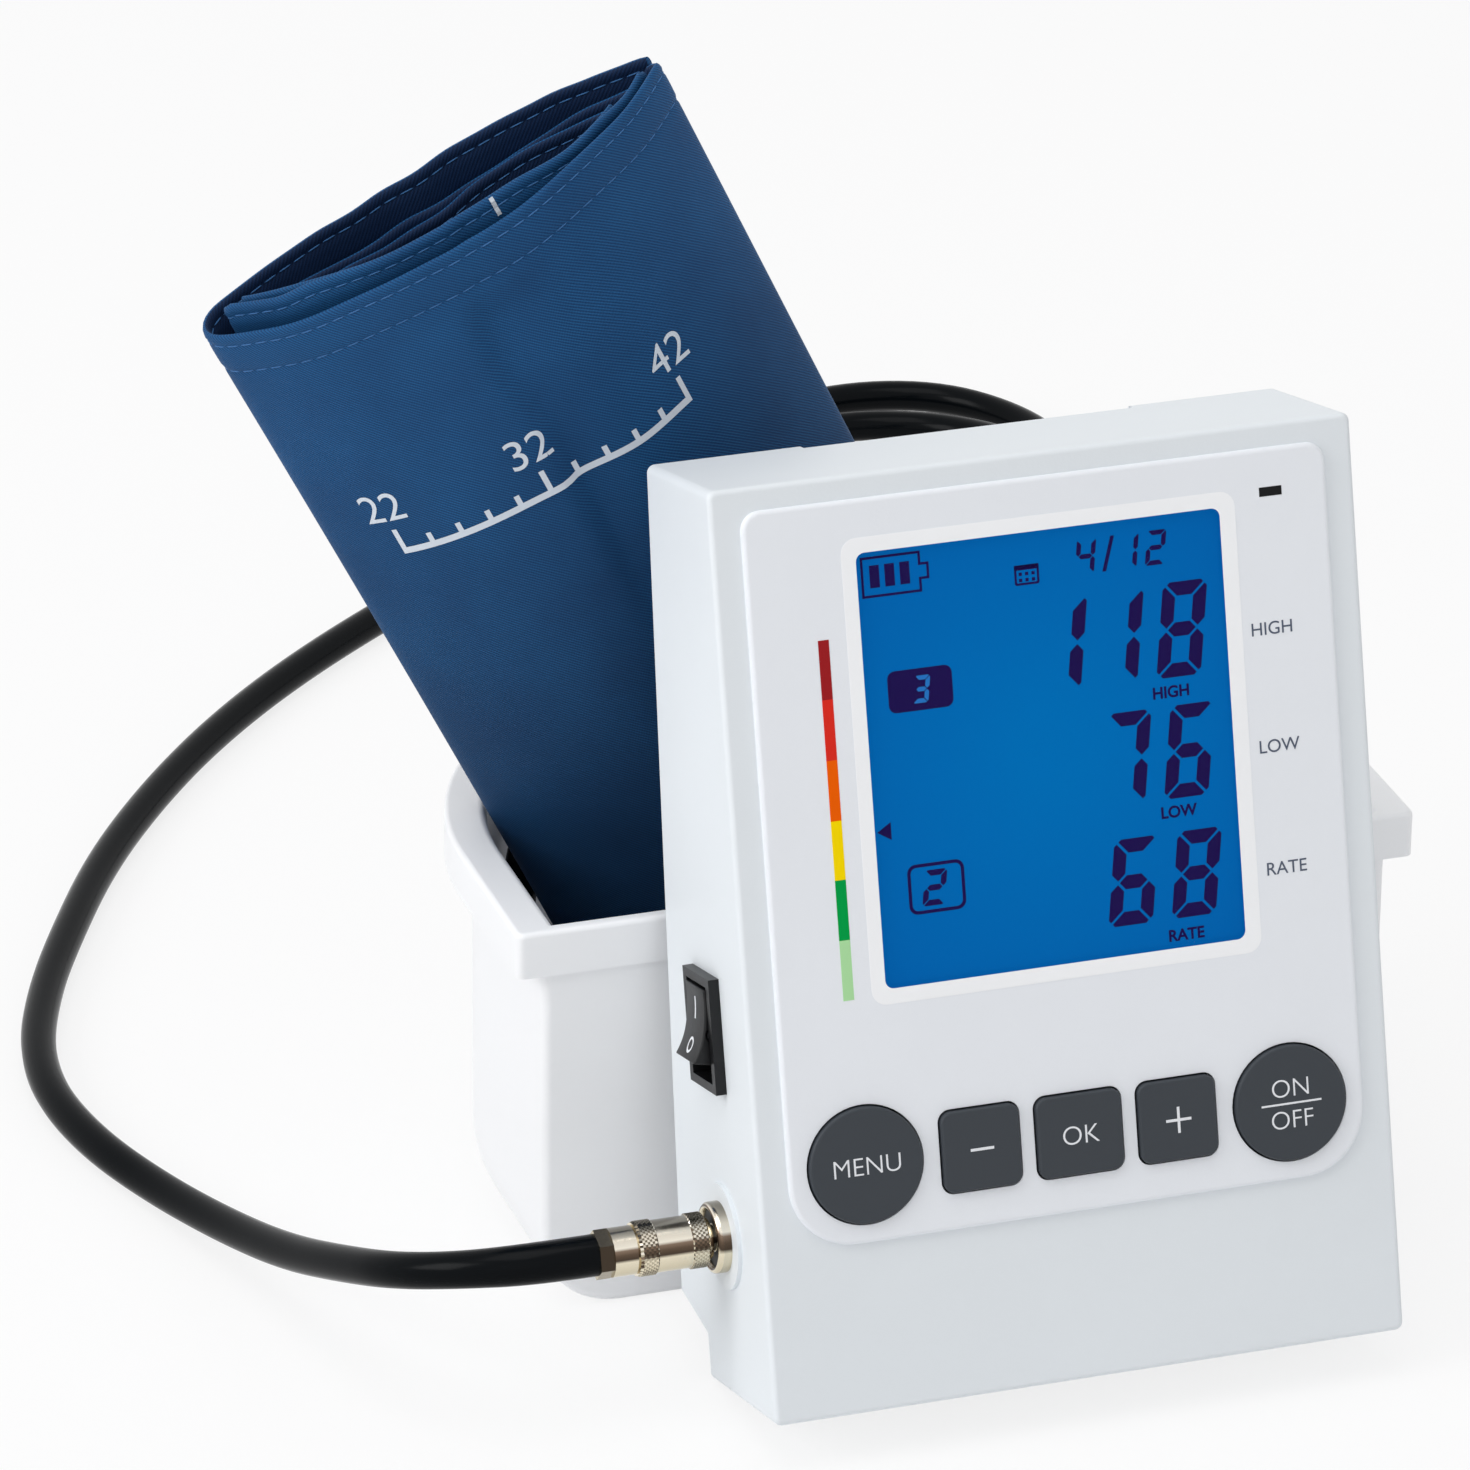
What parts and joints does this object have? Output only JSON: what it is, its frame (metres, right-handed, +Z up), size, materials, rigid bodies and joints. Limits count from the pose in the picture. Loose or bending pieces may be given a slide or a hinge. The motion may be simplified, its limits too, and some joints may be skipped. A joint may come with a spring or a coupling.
{
  "type": "blood pressure monitor",
  "caption": "Desk blood pressure monitor that leans back on a white cuff basket, with a large display, push buttons, a side rocker switch, a rubber air hose and a rolled fabric cuff.",
  "frame": {"origin": "centre of the basket's flat underside, on the table", "axes": "+X to the right seen from the face, +Y from the face to the basket, +Z up"},
  "size_m": [0.2974, 0.4513, 0.2218],
  "materials": {
    "housing_plastic": "fine satin moulded white",
    "plate_plastic": "smooth pale blue-grey",
    "basket_plastic": "polished moulded white",
    "dark_button": "satin dark grey with white print",
    "black_plastic": "satin black",
    "clear_window": "clear hard-coated acrylic",
    "display_glass": "blue-lit liquid crystal glass",
    "light_guide": "milky acrylic",
    "board": "green solder mask",
    "steel": "zinc plated",
    "nickel_brass": "nickel plated brass, worn warm",
    "hose_rubber": "smooth black rubber",
    "clear_tube": "milky silicone",
    "grey_plastic": "moulded mid grey",
    "cell_wrap": "printed shrink sleeve",
    "cuff_fabric": "navy twill nylon, coated inside"
  },
  "bodies": {
    "unit": {"front_shell": "housing_plastic", "rear_cover": "housing_plastic", "face_plate": "plate_plastic", "display_window": "clear_window", "lcd_panel": "display_glass", "backlight": "light_guide", "lcd_frame": "grey_plastic", "main_board": "board", "tact_switches": "black_plastic", "board_screws": "steel", "case_screws": "steel", "indicator_lens": "black_plastic", "switch_housing": "black_plastic", "switch_terminals": "steel", "hose_socket": "nickel_brass", "socket_nut": "nickel_brass", "coupler_body": "nickel_brass", "coupler_nut": "nickel_brass", "air_tubes": "clear_tube", "air_manifold": "grey_plastic", "pressure_sensor": "black_plastic", "release_valve": "steel", "pump_head": "grey_plastic", "pump_motor": "steel", "pump_cradle": "hose_rubber", "dc_jack": "black_plastic", "battery_tray": "housing_plastic", "battery_cells": "cell_wrap", "battery_contacts": "steel", "basket_bracket": "housing_plastic", "bracket_bolts": "steel", "basket": "basket_plastic", "bracket_screws": "steel", "cuff_band": "cuff_fabric", "cuff_port": "black_plastic", "hose": "hose_rubber"},
    "battery_door_body": {"battery_door": "housing_plastic"},
    "minus_button_body": {"minus_button": "dark_button"},
    "mode_button_body": {"mode_button": "dark_button"},
    "plus_button_body": {"plus_button": "dark_button"},
    "release_collar_body": {"release_collar": "nickel_brass"},
    "rocker_body": {"rocker": "black_plastic"},
    "set_button_body": {"set_button": "dark_button"},
    "start_button_body": {"start_button": "dark_button"}
  },
  "joints": [
    {"name": "mode_button_press", "type": "slide", "parent": "unit", "child": "mode_button_body", "axis": [0, 0.9659, -0.2588], "range_m": [0, 0.0008], "stiffness_N_per_m": 1500},
    {"name": "minus_button_press", "type": "slide", "parent": "unit", "child": "minus_button_body", "axis": [0, 0.9659, -0.2588], "range_m": [0, 0.0008], "stiffness_N_per_m": 1500},
    {"name": "set_button_press", "type": "slide", "parent": "unit", "child": "set_button_body", "axis": [0, 0.9659, -0.2588], "range_m": [0, 0.0008], "stiffness_N_per_m": 1500},
    {"name": "plus_button_press", "type": "slide", "parent": "unit", "child": "plus_button_body", "axis": [0, 0.9659, -0.2588], "range_m": [0, 0.0008], "stiffness_N_per_m": 1500},
    {"name": "start_button_press", "type": "slide", "parent": "unit", "child": "start_button_body", "axis": [0, 0.9659, -0.2588], "range_m": [0, 0.0008], "stiffness_N_per_m": 1500},
    {"name": "rocker_tilt", "type": "hinge", "parent": "unit", "child": "rocker_body", "pos_m": [-0.061, -0.07982, 0.06997], "axis": [0, 0.9659, -0.2588], "range_deg": [-24, 0]},
    {"name": "collar_release", "type": "slide", "parent": "unit", "child": "release_collar_body", "axis": [1, 0, 0], "range_m": [0, 0.0015], "stiffness_N_per_m": 2000},
    {"name": "door_slide", "type": "slide", "parent": "unit", "child": "battery_door_body", "axis": [0, 0.1527, 0.9883], "range_m": [0, 0.008]}
  ]
}
